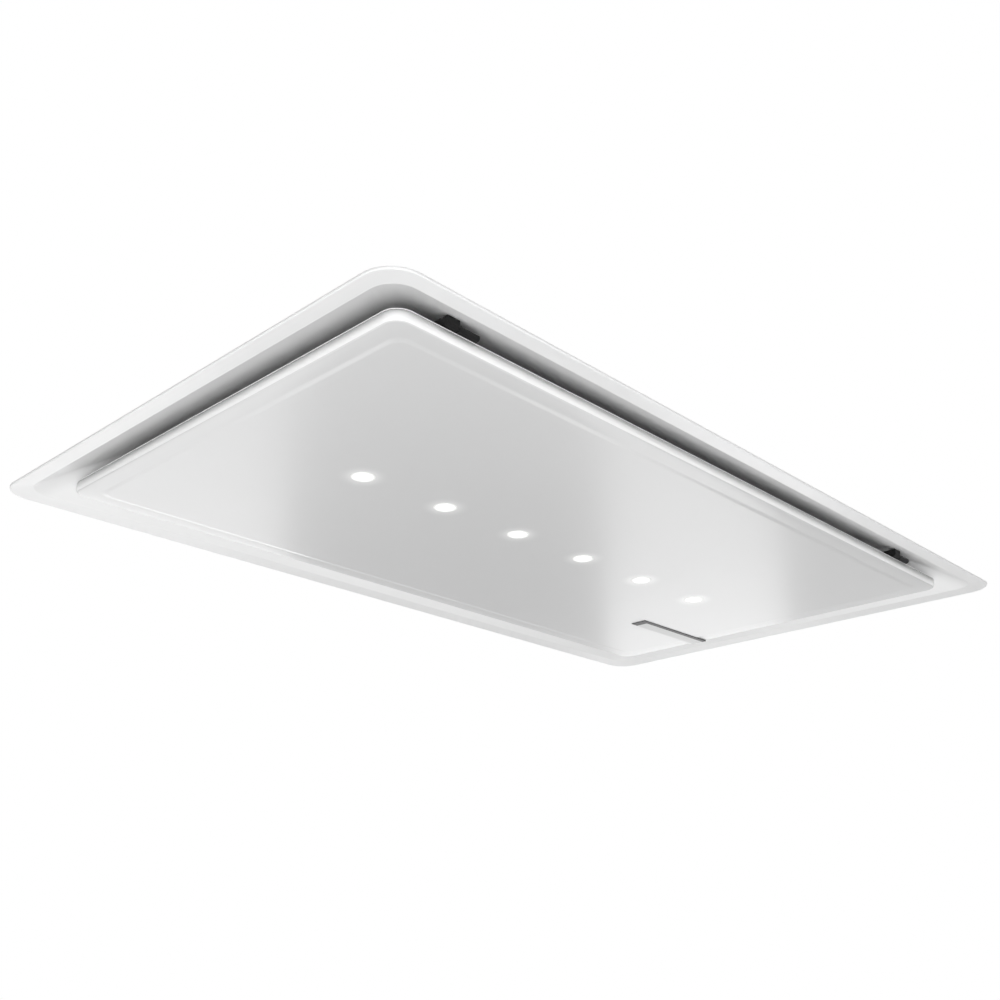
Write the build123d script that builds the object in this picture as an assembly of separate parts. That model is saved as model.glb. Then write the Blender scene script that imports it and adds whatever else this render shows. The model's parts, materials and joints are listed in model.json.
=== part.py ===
from build123d import *
import math
import os

# Ceiling range hood, seen from below: a rim against the ceiling, a funnel behind it and a cover
# panel that swings down on two hinges. Millimetres, +Z up. The origin is the centre of the
# rim at the ceiling's lower face, +X runs along the long side, -Y is the hinge side.

# ---- rim and funnel -------------------------------------------------------------------------
flange_length = 1200.0
flange_width = 712.0
flange_radius = 35.0
rim_width = 21.5
rim_depth = 4.0          # how far the rim's outer edge stands below the ceiling
rim_rise = 3.0           # how far the rim's face rises from that edge to the crease
rim_edge_round = 1.2
rim_edge_inset = 2.0     # where the edge's rounding ends and the rim's sloping face starts
crease_radius = 28.0
frame_sheet = 1.2
funnel_angle = 30.0
funnel_inset = 130.0     # from the rim's outer edge to the funnel's inner lip
funnel_radius = 20.0
lip_height = 12.0
seal_inset = 2.5
seal_width = 8.0
seal_thickness = 1.5
seal_margin = 1.5        # from the seal to where the sheet above the rim starts to rise
rise_radius = 31.0       # the sheet's corner radius there

# ---- cover panel ----------------------------------------------------------------------------
panel_inset = 60.0
panel_radius = 19.0
panel_top = 6.5
panel_thickness = 12.5
panel_sheet = 0.8
panel_edge_round = 4.0
field_border = 26.0      # width of the sloping border round the panel's raised field
field_rise = 0.8
tray_sheet = 0.8
seam_gap = 0.8
gasket_inset = 0.6       # how far the strip in the seam stands behind the panel's edge
gasket_wall_gap = 0.2
tray_wall_inset = 3.0    # from the panel's outline to the tray's down-turned wall
tray_wall_thickness = 1.0
tray_wall_height = 6.0
rib_end_inset = 90.0     # from the panel's short edge to a rib's end
rib_width = 30.0
rib_offset = 150.0
rib_sheet = 1.0

# ---- lights in the panel --------------------------------------------------------------------
light_count = 6
light_pitch = 131.9
lens_radius = 14.5
lens_clearance = 0.3
lens_proud = 0.2
lens_flange = 2.5
lens_flange_thickness = 1.2
cup_radius = 19.0
cup_wall = 1.6
cup_height = 8.6
chip_size = 10.0
chip_thickness = 1.0

# ---- strip on the panel ---------------------------------------------------------------------
strip_length = 172.0
strip_width = 27.0
strip_thickness = 1.0
strip_y = 135.5
strip_end_inset = 1.0    # from the panel's short edge to the strip's end

# ---- hinges ---------------------------------------------------------------------------------
hinge_left_inset = 117.0   # from the rim's ends to the low end of each bracket's nose
hinge_right_inset = 207.0
bracket_width = 16.0
nose_reach = 6.0         # how far a bracket's nose passes the panel's edge
bracket_height = 9.8
bracket_chamfer = 2.5
bracket_lift = 1.0       # gap between the panel and a bracket's arm
leg_thickness = 5.0
leg_corner = 32.0        # from the lip's corner to the middle of a bracket's leg
bracket_bar = 14.0       # width of the bar between a bracket's nose arm and its leg
leg_top_gap = 0.5        # between a leg and the deck above it
pin_radius = 1.75
pin_cover = 2.0          # thickness of the bracket at the pin's hidden end
pin_fit = 0.02           # radial gap of a pin in the part that holds it
running_gap = 0.05       # radial gap of a pin in the part that turns on it
barrel_radius = 3.5
barrel_lift = 0.3        # gap between the barrel and the panel's top
barrel_length = 26.0
barrel_offset = 2.0      # the pivot's distance outside the panel's near edge
leaf_thickness = 2.0
leaf_length = 36.0
leaf_screw_inset = 8.0
leaf_screw_spacing = 14.0
leaf_screw_length = 6.5
side_gap = 0.4

# ---- magnets on the side away from the hinges -------------------------------------------------
catch_corner = 40.0      # from the lip's corner to the magnet's axis
catch_edge = 16.0        # from the panel's far edge to the magnet's axis
magnet_radius = 8.0
magnet_thickness = 5.0
magnet_gap = 0.2
magnet_proud = 0.4       # how far a magnet stands out of its holder
holder_wall = 2.5
holder_cover = 2.0       # thickness of the holder behind the magnet
strike_length = 30.0
strike_width = 24.0
strike_thickness = 1.0

# ---- filter deck and filters ----------------------------------------------------------------
deck_sheet = 1.2
deck_overhang = 1.0      # how far the deck passes the housing's walls
deck_lip_gap = 0.3
deck_skirt_height = 9.0
filter_count = 3
filter_end_gap = 2.0     # from the lip's ends to the filters' share of the length
filter_spacing = 8.0     # between two filters
filter_side_gap = 8.0    # between a filter and the lip
filter_thickness = 9.0
filter_gap = 0.2
filter_side_bar = 12.0
filter_front_bar = 32.0
filter_mesh_thickness = 6.0
filter_mesh_fit = 0.2
deck_opening_margin = 10.0
deck_opening_radius = 8.0
lug_width = 20.0
lug_inset = 60.0         # from a filter's end to the middle of a lug
lug_thickness = 2.0
lug_rise = 3.0           # from a filter's underside to its lugs
lug_reach = 3.5          # how far a lug or bolt passes beyond the lip's inner face
slot_clearance = 0.6
slot_spare = 2.0         # how far a slot is cut beyond the lug's tip
latch_width = 44.0
latch_depth = 16.0
latch_thickness = 5.0
latch_travel = 5.0
latch_clearance = 0.3
pocket_inset = 4.0       # from a filter's front edge to its latch pocket
pocket_spare = 1.5       # length of the fully pressed spring
bolt_width = 20.0
bolt_thickness = 2.4
bolt_rise = 2.0          # from a filter's underside to its bolt
grip_height = 7.0
grip_thickness = 3.0
grip_inset = 8.0
spring_radius = 1.7
spring_wire = 0.25       # radius of the wire
spring_turns = 7
spring_end_gap = 0.1

# ---- housing --------------------------------------------------------------------------------
housing_inset = 100.0
housing_radius = 12.0
housing_sheet = 1.2
housing_height = 300.0   # from the ceiling's lower face to the top of the housing
housing_flange = 13.0
housing_window_radius = 6.0
screw_radius = 2.0
screw_clearance = 0.2
screw_head_radius = 3.8
screw_head = 2.2
screw_length = 7.0
head_gap = 0.7           # between a screw's head and a sheet beside it
case_screw_inset = 100.0 # from the end of a housing flange to its outer screws
deck_screw_y = 113.0
collar_screw_inset = 12.0 # from the collar plate's edges
motor_screw_length = 9.0

# ---- blower ---------------------------------------------------------------------------------
wheel_radius = 110.0
blade_depth = 20.0
blower_end = 210.0       # from the wheel to the housing's end with the duct
blower_side = 46.0       # from the wheel to the housing's side
tongue_gap = 12.0        # from the wheel to the scroll's tongue
scroll_growth = 58.0     # how much the scroll's inner radius grows up to the discharge
scroll_wall = 3.0
discharge_width = 150.0
plenum_height = 57.0     # from the deck to the scroll's underside
mount_height = 10.8
mount_offset = 76.5      # along both axes from the wheel's axis to a rubber mount
scroll_points = 17
wall_gap = 0.3
throat_gap = 6.0         # radial gap between the throat's inside and the blades
bell_bend = 8.0
throat_wall = 2.0
throat_height = 18.0
inlet_flange_width = 16.0
inlet_sheet = 2.5
wheel_lift = 13.0        # from the scroll's underside to the wheel
wheel_top_gap = 21.5     # from the wheel to the scroll's roof
wheel_sheet = 2.5
blade_count = 36
blade_thickness = 1.4
blade_lean = 32.0        # degrees that a blade's outer edge leads its inner edge by, at its chord
hub_radius = 12.0
hub_height = 24.0
cup_gap = 4.0            # radial gap between the motor and the wheel's cup
motor_radius = 52.0
motor_height = 66.0
motor_chamfer = 6.0
motor_flange_width = 18.0
motor_screw_reach = 10.0 # from the motor's wall to its screws
cover_gap = 3.0          # between the motor and the scroll's cover
gasket_gap = 2.0         # between the motor and its gasket
motor_flange_thickness = 4.0
motor_gasket = 2.0
shaft_radius = 4.0
shaft_length = 64.0
shaft_overhang = 2.0     # how far the shaft stands out below the hub
mount_radius = 10.0

# ---- duct collar ----------------------------------------------------------------------------
duct_radius = 75.0       # outside of the spigot, for a 150 mm duct
duct_wall = 2.5
duct_length = 62.0
duct_top_gap = 15.0      # from the spigot up to the housing's top
duct_plate_margin = 17.0 # from the spigot to the plate's upright edges
duct_plate_rise = 10.0   # from the spigot to the plate's level edges
duct_plate_radius = 10.0
duct_hole_rim = 1.0      # how much smaller the housing's hole is than the spigot
duct_plate_thickness = 3.0
flap_x = 18.0            # from the collar's plate to the flaps' pin
flap_thickness = 1.5
flap_clearance = 1.0
flap_pin_radius = 2.0
flap_knuckle = 4.0
flap_knuckle_height = 24.0
flap_knuckle_gap = 1.0   # between two knuckles
flap_pin_gap = 0.8       # between the knuckles and the other flap's edge
boss_depth = 5.0         # how far the pin's bosses stand into the bore
boss_bite = 0.8          # how far they reach into the spigot's wall
pin_end_gap = 0.5

# ---- control gear ---------------------------------------------------------------------------
box_depth = 60.0
box_width = 240.0
box_height = 140.0
box_wall = 2.5
box_boss_radius = 4.0
box_boss = 10.0
board_thickness = 1.6
board_inset = 10.0       # from the box's floor, roof and far end to the board
board_width = 150.0
boss_inset = 10.0        # from the board's edges to the bosses that carry it
board_blocks = (         # place on the board, width, height and depth of its larger parts
    (15.0, 20.0, 32.0, 40.0, 26.0),
    (60.0, 20.0, 14.0, 25.0, 15.0),
    (110.0, 10.0, 30.0, 60.0, 12.0),
)
capacitor_places = (90.0, 108.0)
capacitor_drop = 25.0
capacitor_radius = 6.0
capacitor_length = 20.0
gland_y = 60.0
gland_clearance = 0.3
gland_radius = 10.0
gland_head = 13.0
gland_head_length = 18.0
gland_bore = 4.5
gland_nut_length = 5.0
driver_size = (150.0, 45.0, 30.0)
driver_end = 180.0       # from the housing's end with the gland to the driver's middle
driver_side = 81.0       # from the housing's side to the driver's middle
driver_corner = 4.0

# ---- hanger brackets --------------------------------------------------------------------------
hanger_end = 70.0        # from the housing's ends to a bracket's bolts
hanger_side = 56.0       # from the housing's sides to a bracket's bolts
hanger_foot = 36.0
hanger_width = 40.0
hanger_sheet = 3.0
hanger_height = 30.0
hanger_hole = 4.5

past = 1.0               # how far a cut runs past the surface that it opens

# ---- heights and places that follow from the sizes above --------------------------------------
rim_low = -rim_depth
crease_z = rim_low + rim_rise
slope = math.tan(math.radians(funnel_angle))
sheet_rise = frame_sheet / math.cos(math.radians(funnel_angle))
funnel_top = crease_z + (funnel_inset - rim_width) * slope
lip_top = funnel_top + lip_height
lip_x = flange_length / 2 - funnel_inset
lip_y = flange_width / 2 - funnel_inset
panel_low = panel_top - panel_thickness
field_low = panel_low - field_rise
face_top = panel_top - tray_sheet - seam_gap
panel_length = flange_length - 2 * panel_inset
panel_width = flange_width - 2 * panel_inset
pivot_y = -panel_width / 2 - barrel_offset
pivot_z = panel_top + barrel_lift + barrel_radius
arm_low = panel_top + bracket_lift
hinge_x = (hinge_left_inset - flange_length / 2, flange_length / 2 - hinge_right_inset)
catch_x = lip_x - catch_corner
magnet_y = panel_width / 2 - catch_edge
magnet_low = panel_top + strike_thickness + magnet_gap
deck_top = lip_top + deck_sheet
deck_inset = housing_inset - deck_overhang
deck_skirt_inset = funnel_inset - frame_sheet - deck_lip_gap
filter_pitch = 2 * (lip_x - filter_end_gap) / filter_count
filter_length = filter_pitch - filter_spacing
filter_width = 2 * (lip_y - filter_side_gap)
filter_top = lip_top - filter_gap
filter_low = filter_top - filter_thickness
housing_length = flange_length - 2 * housing_inset
housing_width = flange_width - 2 * housing_inset
housing_under = housing_height - housing_sheet
wall_x = housing_length / 2 - housing_sheet
blower_x = housing_length / 2 - blower_end - wheel_radius
blower_y = housing_width / 2 - blower_side - wheel_radius
scroll_start = wheel_radius + tongue_gap
scroll_end = scroll_start + scroll_growth
scroll_floor = deck_top + plenum_height
scroll_roof = housing_under - mount_height
scroll_height = scroll_roof - scroll_floor
duct_x = housing_length / 2
duct_y = blower_y - scroll_end + discharge_width / 2
duct_z = housing_height - duct_top_gap - duct_radius
duct_plate_side = duct_radius + duct_plate_margin
duct_plate_high = duct_radius + duct_plate_rise
flap_axis_x = duct_x + flap_x
wheel_inner = wheel_radius - blade_depth
wheel_floor = scroll_floor + wheel_lift
wheel_top = scroll_roof - wheel_top_gap
throat_radius = wheel_inner - throat_gap
inlet_radius = throat_radius + bell_bend
inlet_flange = inlet_radius + inlet_flange_width
motor_low = scroll_roof - motor_height
motor_flange = motor_radius + motor_flange_width
hub_top = motor_low - cup_gap - wheel_sheet
box_x = -wall_x
gland_z = (deck_top + housing_under) / 2
box_floor = gland_z - box_height / 2
board_y = (board_inset - box_width / 2, board_inset - box_width / 2 + board_width)
board_z = (box_floor + board_inset, box_floor + box_height - board_inset)
hanger_x = housing_length / 2 - hanger_end
hanger_y = housing_width / 2 - hanger_side
hanger_seat = housing_height + hanger_sheet


# ---- helpers ----------------------------------------------------------------------------------
def outline(inset, radius, z=0.0):
    """The rim's outline moved inwards, at a height."""
    size = (flange_length - 2 * inset, flange_width - 2 * inset)
    return Pos(0, 0, z) * RectangleRounded(*size, radius)


def slab(inset, radius, low, high):
    """A plate with the rim's outline moved inwards."""
    return extrude(outline(inset, radius, low), amount=high - low)


def funnel(levels):
    """A solid with straight sides between outlines, each given as inset, radius, height."""
    return loft([outline(*level) for level in levels], ruled=True)


def block(x, y, z):
    """A box between the two ends given for each axis."""
    middle = Pos((x[0] + x[1]) / 2, (y[0] + y[1]) / 2, (z[0] + z[1]) / 2)
    return middle * Box(abs(x[1] - x[0]), abs(y[1] - y[0]), abs(z[1] - z[0]))


def rod(radius, start, end):
    """A round bar from one point to another."""
    axis = Vector(*end) - Vector(*start)
    return extrude(Plane(origin=start, z_dir=axis.normalized()) * Circle(radius), amount=axis.length)


def tube(outer, inner, start, end):
    return rod(outer, start, end) - rod(inner, start, end)


def turned(points, x, y):
    """A solid of revolution about a vertical axis, from radius and height pairs."""
    profile = make_face(Plane.XZ * Polyline(*points, close=True))
    return Pos(x, y, 0) * revolve(profile, Axis.Z)


def screw(head, tip, length=screw_length):
    """A pan-head screw: the head's seat is at the first point and the shank points to the second."""
    seat = Vector(*head)
    way = (Vector(*tip) - seat).normalized()
    body = rod(screw_radius, seat, seat + way * length)
    return body + rod(screw_head_radius, seat - way * screw_head, seat)


def screw_hole(head, tip, length=screw_length):
    seat = Vector(*head)
    way = (Vector(*tip) - seat).normalized()
    return rod(screw_radius + screw_clearance, seat - way, seat + way * length)


def cut(body, tools):
    for tool in tools:
        body = body - tool
    return body


# ---- places that several pieces share -----------------------------------------------------------
light_places = [(i - (light_count - 1) / 2) * light_pitch for i in range(light_count)]
filter_places = [(i - (filter_count - 1) / 2) * filter_pitch for i in range(filter_count)]
lug_offset = filter_length / 2 - lug_inset
lug_z = filter_low + lug_rise
bolt_z = filter_low + bolt_rise


def lip_slots():
    """Slots in the lip and the deck's skirt, where the filters' lugs and bolts pass through."""
    reach = (lip_y - past, lip_y + lug_reach + slot_spare)
    for x in filter_places:
        for side in (-lug_offset, lug_offset):
            lug = (x + side - lug_width / 2 - slot_clearance, x + side + lug_width / 2 + slot_clearance)
            yield block(lug, reach, (lug_z - slot_clearance, lug_z + lug_thickness + slot_clearance))
        half = bolt_width / 2 + slot_clearance
        height = (bolt_z - slot_clearance, bolt_z + bolt_thickness + slot_clearance)
        yield block((x - half, x + half), (-reach[0], -reach[1]), height)


def deck_screws():
    """Level screws through the deck's skirt and the funnel's lip, as seat and direction."""
    z = lip_top - screw_head_radius - head_gap
    y = lip_y + frame_sheet + deck_lip_gap + deck_sheet
    x = lip_x + frame_sheet + deck_lip_gap + deck_sheet
    for side in (-1, 1):
        for place in (-filter_pitch / 2, filter_pitch / 2):
            yield (place, side * y, z), (place, 0, z)
        for place in (-deck_screw_y, deck_screw_y):
            yield (side * x, place, z), (0, place, z)


def upright_screws(z, flange_x, flange_y):
    """Screws pointing down through the housing's flanges, spaced along its four sides."""
    for side in (-1, 1):
        for x in (case_screw_inset - flange_x, 0.0, flange_x - case_screw_inset):
            yield (x, side * flange_y, z), (x, side * flange_y, z - 1)
        for y in (case_screw_inset - flange_y, flange_y - case_screw_inset):
            yield (side * flange_x, y, z), (side * flange_x, y, z - 1)


flange_middle = housing_sheet + (housing_flange - housing_sheet) / 2
flange_x = housing_length / 2 - flange_middle
flange_y = housing_width / 2 - flange_middle
base_screws = list(upright_screws(deck_top + housing_sheet, flange_x, flange_y))
top_screws = list(upright_screws(housing_height, flange_x, flange_y))
collar_seat = duct_x + duct_plate_thickness
collar_screw_side = duct_plate_side - collar_screw_inset
collar_screw_high = duct_plate_high - collar_screw_inset
collar_screws = [
    ((collar_seat, duct_y + dy, duct_z + dz), (0, duct_y + dy, duct_z + dz))
    for dy in (-collar_screw_side, collar_screw_side)
    for dz in (-collar_screw_high, collar_screw_high)
]
case_screws = list(deck_screws()) + base_screws + top_screws + collar_screws
motor_seat = scroll_roof + motor_gasket + motor_flange_thickness
motor_circle = motor_radius + motor_screw_reach
motor_screws = [
    ((blower_x + dx, blower_y + dy, motor_seat), (blower_x + dx, blower_y + dy, 0), motor_screw_length)
    for dx, dy in ((motor_circle, 0), (0, motor_circle), (-motor_circle, 0), (0, -motor_circle))
]
hinge_top = panel_top + leaf_thickness
leaf_screw_y = -panel_width / 2 + leaf_length - leaf_screw_inset


def leaf_screws(x):
    """The two screws of the hinge arm beside the bracket at x, as seat and direction."""
    middle = x + bracket_width + side_gap + barrel_length / 2
    for dx in (-leaf_screw_spacing / 2, leaf_screw_spacing / 2):
        yield (middle + dx, leaf_screw_y, hinge_top), (middle + dx, leaf_screw_y, 0)


nodes = {}


# ---- rim, funnel and seal -----------------------------------------------------------------------
def make_ceiling_frame():
    edge = slab(0, flange_radius, rim_low, rim_low + rim_depth - seal_thickness)
    edge = fillet(edge.faces().sort_by(Axis.Z)[0].edges(), rim_edge_round)
    lip = funnel_inset - frame_sheet
    outer_top = crease_z + (lip - rim_width) * slope + sheet_rise
    outside = edge + funnel([
        (seal_inset + seal_width + seal_margin, rise_radius, -seal_thickness),
        (rim_width, crease_radius, crease_z + sheet_rise),
        (lip, funnel_radius, outer_top),
        (lip, funnel_radius, lip_top),
    ])
    air = funnel([
        (rim_edge_inset, flange_radius - rim_edge_inset, rim_low),
        (rim_width, crease_radius, crease_z),
        (funnel_inset, funnel_radius, funnel_top),
        (funnel_inset, funnel_radius, lip_top + past),
    ])
    frame = cut(outside - air, lip_slots())
    return cut(frame, [screw_hole(*place) for place in deck_screws()])


def make_ceiling_seal():
    outer = slab(seal_inset, flange_radius - seal_inset, -seal_thickness, 0)
    inner = seal_inset + seal_width
    return outer - slab(inner, flange_radius - inner, -seal_thickness - past, past)


# ---- cover panel --------------------------------------------------------------------------------
def pan(inset, radius, low, high, rounding):
    """A tub with rounded lower edges and a shallow raised field, as a full solid."""
    tub = slab(inset, radius, low, high)
    tub = fillet(tub.faces().sort_by(Axis.Z)[0].edges(), rounding)
    start = panel_inset + panel_edge_round
    field = funnel([
        (start, panel_radius - panel_edge_round, low),
        (start + field_border, panel_radius - panel_edge_round, low - field_rise),
    ])
    return tub + field


def make_panel_face():
    inner_radius = panel_radius - panel_sheet
    outside = pan(panel_inset, panel_radius, panel_low, face_top, panel_edge_round)
    inside = pan(panel_inset + panel_sheet, inner_radius, panel_low + panel_sheet,
                 face_top + past, panel_edge_round - panel_sheet)
    hole = lens_radius + lens_clearance
    holes = [rod(hole, (x, 0, field_low - past), (x, 0, panel_top)) for x in light_places]
    return cut(outside - inside, holes)


def make_panel_tray():
    top = slab(panel_inset, panel_radius, panel_top - tray_sheet, panel_top)
    outer = panel_inset + tray_wall_inset
    inner = outer + tray_wall_thickness
    low = panel_top - tray_sheet - tray_wall_height
    wall = slab(outer, panel_radius - tray_wall_inset, low, panel_top - tray_sheet)
    wall -= slab(inner, panel_radius - tray_wall_inset - tray_wall_thickness,
                 low - past, panel_top - tray_sheet)
    tray = top + wall
    return cut(tray, [screw_hole(*place, leaf_screw_length) for x in hinge_x for place in leaf_screws(x)])


def make_panel_gasket():
    """The strip in the seam between face and tray, seen as a dark line."""
    outer = slab(panel_inset + gasket_inset, panel_radius - gasket_inset, face_top, face_top + seam_gap)
    inner = tray_wall_inset - gasket_wall_gap
    return outer - slab(panel_inset + inner, panel_radius - inner, face_top - past, panel_top)


def make_panel_rib(y):
    """A hat-shaped stiffener between the face and the tray."""
    low, high = field_low + panel_sheet, panel_top - tray_sheet
    x = (rib_end_inset - panel_length / 2, panel_length / 2 - rib_end_inset)
    rib = block(x, (y - rib_width / 2, y + rib_width / 2), (low, high))
    hollow = (y - rib_width / 2 + rib_sheet, y + rib_width / 2 - rib_sheet)
    return rib - block((x[0] - past, x[1] + past), hollow, (low - past, high - rib_sheet))


# ---- lights -------------------------------------------------------------------------------------
def make_lens(x):
    seat = field_low + panel_sheet
    lens = rod(lens_radius, (x, 0, field_low - lens_proud), (x, 0, seat))
    flange = rod(lens_radius + lens_flange, (x, 0, seat), (x, 0, seat + lens_flange_thickness))
    return fillet(lens.faces().sort_by(Axis.Z)[0].edges(), lens_proud) + flange


def make_light_cup(x):
    seat = field_low + panel_sheet
    cup = rod(cup_radius, (x, 0, seat), (x, 0, seat + cup_height))
    return cup - rod(cup_radius - cup_wall, (x, 0, seat - past), (x, 0, seat + cup_height - cup_wall))


def make_light_chip(x):
    high = field_low + panel_sheet + cup_height - cup_wall
    half = chip_size / 2
    return block((x - half, x + half), (-half, half), (high - chip_thickness, high))


# ---- strip --------------------------------------------------------------------------------------
def make_name_strip():
    end = panel_length / 2 - strip_end_inset
    y = (strip_y - strip_width / 2, strip_y + strip_width / 2)
    strip = block((end - strip_length, end), y,
                  (field_low - strip_thickness, panel_low + panel_edge_round / 2))
    body = pan(panel_inset, panel_radius, panel_low, face_top, panel_edge_round)
    return strip - body


# ---- hinges -------------------------------------------------------------------------------------
def make_hinge_bracket(x):
    """An arm out to the panel's edge, a bar behind the panel and a leg welded to the funnel's lip."""
    nose = -panel_width / 2 - nose_reach
    back = -lip_y + leg_thickness
    height = (arm_low, arm_low + bracket_height)
    arm = block((x, x + bracket_width), (nose, back), height)
    nose_edge = arm.edges().filter_by(Axis.X).sort_by(lambda e: e.center().Y + e.center().Z)[0]
    arm = chamfer(nose_edge, bracket_chamfer)
    middle = math.copysign(lip_x - leg_corner, x)
    leg_x = (middle - bracket_width / 2, middle + bracket_width / 2)
    ends = (min(x, leg_x[0]), max(x + bracket_width, leg_x[1]))
    bar = block(ends, (back - bracket_bar, back), height)
    leg = block(leg_x, (-lip_y, back), (arm_low, lip_top - leg_top_gap))
    hole = rod(pin_radius + pin_fit, (x + pin_cover, pivot_y, pivot_z),
               (x + bracket_width + past, pivot_y, pivot_z))
    return arm + bar + leg - hole


def make_hinge_pin(x):
    end = x + bracket_width + side_gap + barrel_length + past
    return rod(pin_radius, (x + pin_cover, pivot_y, pivot_z), (end, pivot_y, pivot_z))


def make_hinge_arm(x):
    low = x + bracket_width + side_gap
    span = (low, low + barrel_length)
    edge = -panel_width / 2
    barrel = rod(barrel_radius, (span[0], pivot_y, pivot_z), (span[1], pivot_y, pivot_z))
    leaf = block(span, (pivot_y, edge + leaf_length), (panel_top, hinge_top))
    arm = barrel + leaf - rod(pin_radius + running_gap, (low - past, pivot_y, pivot_z),
                              (span[1] + past, pivot_y, pivot_z))
    return cut(arm, [screw_hole(*place, leaf_screw_length) for place in leaf_screws(x)])


# ---- magnets ------------------------------------------------------------------------------------
def make_catch_holder(x):
    low = magnet_low + magnet_proud
    pocket_top = magnet_low + magnet_thickness
    high = pocket_top + holder_cover
    half = magnet_radius + holder_wall
    arm = block((x - half, x + half), (lip_y - leg_thickness, magnet_y + half), (low, high))
    leg = block((x - half, x + half), (lip_y - leg_thickness, lip_y), (low, lip_top - leg_top_gap))
    pocket = rod(magnet_radius, (x, magnet_y, low - past), (x, magnet_y, pocket_top))
    return arm + leg - pocket


def make_magnet(x):
    top = magnet_low + magnet_thickness
    return rod(magnet_radius - pin_fit, (x, magnet_y, magnet_low), (x, magnet_y, top))


def make_strike_plate(x):
    return block((x - strike_length / 2, x + strike_length / 2),
                 (magnet_y - strike_width / 2, magnet_y + strike_width / 2),
                 (panel_top, panel_top + strike_thickness))


# ---- filters ------------------------------------------------------------------------------------
front_y = -filter_width / 2 + filter_front_bar
pocket_start = -filter_width / 2 + pocket_inset
pocket_y = (pocket_start, pocket_start + latch_depth + latch_travel + pocket_spare)


def make_filter_frame(x):
    half = filter_length / 2
    frame = block((x - half, x + half), (-filter_width / 2, filter_width / 2), (filter_low, filter_top))
    inside = half - filter_side_bar
    frame -= block((x - inside, x + inside), (front_y, filter_width / 2 - filter_side_bar),
                   (filter_low - past, filter_top + past))
    pocket = latch_width / 2 + latch_clearance
    frame -= block((x - pocket, x + pocket), pocket_y,
                   (filter_low - past, filter_low + latch_thickness + latch_clearance))
    bolt = bolt_width / 2 + latch_clearance
    frame -= block((x - bolt, x + bolt), (-filter_width / 2 - past, pocket_y[0] + past),
                   (bolt_z - latch_clearance, bolt_z + bolt_thickness + latch_clearance))
    for side in (-lug_offset, lug_offset):
        lug = (x + side - lug_width / 2, x + side + lug_width / 2)
        frame += block(lug, (filter_width / 2, lip_y + lug_reach), (lug_z, lug_z + lug_thickness))
    return frame


def make_filter_mesh(x):
    half = filter_length / 2 - filter_side_bar - filter_mesh_fit
    low = filter_low + (filter_thickness - filter_mesh_thickness) / 2
    return block((x - half, x + half),
                 (front_y + filter_mesh_fit, filter_width / 2 - filter_side_bar - filter_mesh_fit),
                 (low, low + filter_mesh_thickness))


def make_filter_latch(x):
    """A slider with a bolt in front and a finger grip below."""
    start = pocket_y[0] + latch_clearance
    half = latch_width / 2
    slider = block((x - half, x + half), (start, start + latch_depth),
                   (filter_low, filter_low + latch_thickness))
    bolt = block((x - bolt_width / 2, x + bolt_width / 2), (-lip_y - lug_reach, start),
                 (bolt_z, bolt_z + bolt_thickness))
    grip_y = (start + latch_depth - grip_thickness, start + latch_depth)
    grip_x = (x - half + grip_inset, x + half - grip_inset)
    grip = block(grip_x, grip_y, (filter_low - grip_height, filter_low))
    return slider + bolt + grip


def make_latch_spring(x):
    """A coil spring between the slider's back and the end of its pocket."""
    start = pocket_y[0] + latch_clearance + latch_depth + spring_wire + spring_end_gap
    end = pocket_y[1] - spring_wire - spring_end_gap
    pitch = (end - start) / spring_turns
    path = Plane(origin=(x, start, filter_low + latch_thickness / 2), z_dir=(0, 1, 0)) * Helix(
        pitch=pitch, height=end - start, radius=spring_radius)
    section = Plane(origin=path @ 0, z_dir=path % 0) * Circle(spring_wire)
    return sweep(section, path, is_frenet=True)


# ---- deck and housing ---------------------------------------------------------------------------
def make_filter_deck():
    plate = slab(deck_inset, housing_radius + deck_overhang, lip_top, deck_top)
    outer = deck_skirt_inset - deck_sheet
    skirt = slab(outer, funnel_radius, lip_top - deck_skirt_height, lip_top)
    skirt -= slab(deck_skirt_inset, funnel_radius, lip_top - deck_skirt_height - past, lip_top)
    deck = plate + skirt
    for x in filter_places:
        half = filter_length / 2 - deck_opening_margin
        depth = filter_width / 2 - deck_opening_margin
        opening = Pos(x, 0, lip_top - past) * RectangleRounded(2 * half, 2 * depth, deck_opening_radius)
        deck -= extrude(opening, amount=deck_sheet + 2 * past)
    deck = cut(deck, lip_slots())
    deck = cut(deck, [screw_hole(*place) for place in deck_screws()])
    return cut(deck, [screw_hole(*place) for place in base_screws])


def make_housing_shell():
    inner = housing_inset + housing_sheet
    inner_radius = housing_radius - housing_sheet
    shell = slab(housing_inset, housing_radius, deck_top, housing_under)
    shell -= slab(inner, inner_radius, deck_top + housing_sheet, housing_under - housing_sheet)
    window = slab(housing_inset + housing_flange, housing_window_radius, deck_top - past, housing_height)
    hole = rod(duct_radius - duct_hole_rim, (wall_x - past, duct_y, duct_z), (duct_x + past, duct_y, duct_z))
    gland = rod(gland_radius + gland_clearance, (-duct_x - past, gland_y, gland_z),
                (-wall_x + past, gland_y, gland_z))
    shell = shell - window - hole - gland
    shell = cut(shell, [screw_hole(*place) for place in base_screws + top_screws])
    return cut(shell, [screw_hole(*place) for place in collar_screws])


def make_housing_top():
    top = slab(housing_inset, housing_radius, housing_under, housing_height)
    top = cut(top, [screw_hole(*place) for place in top_screws])
    holes = [screw_hole((x, y, housing_height), (x, y, 0)) for x, y in hanger_bolt_places()]
    return cut(top, holes)


# ---- hanger brackets ----------------------------------------------------------------------------
def hanger_bolt_places():
    for x in (-hanger_x, hanger_x):
        for y in (-hanger_y, hanger_y):
            for step in (-hanger_width / 4, hanger_width / 4):
                yield x, y + step


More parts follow.
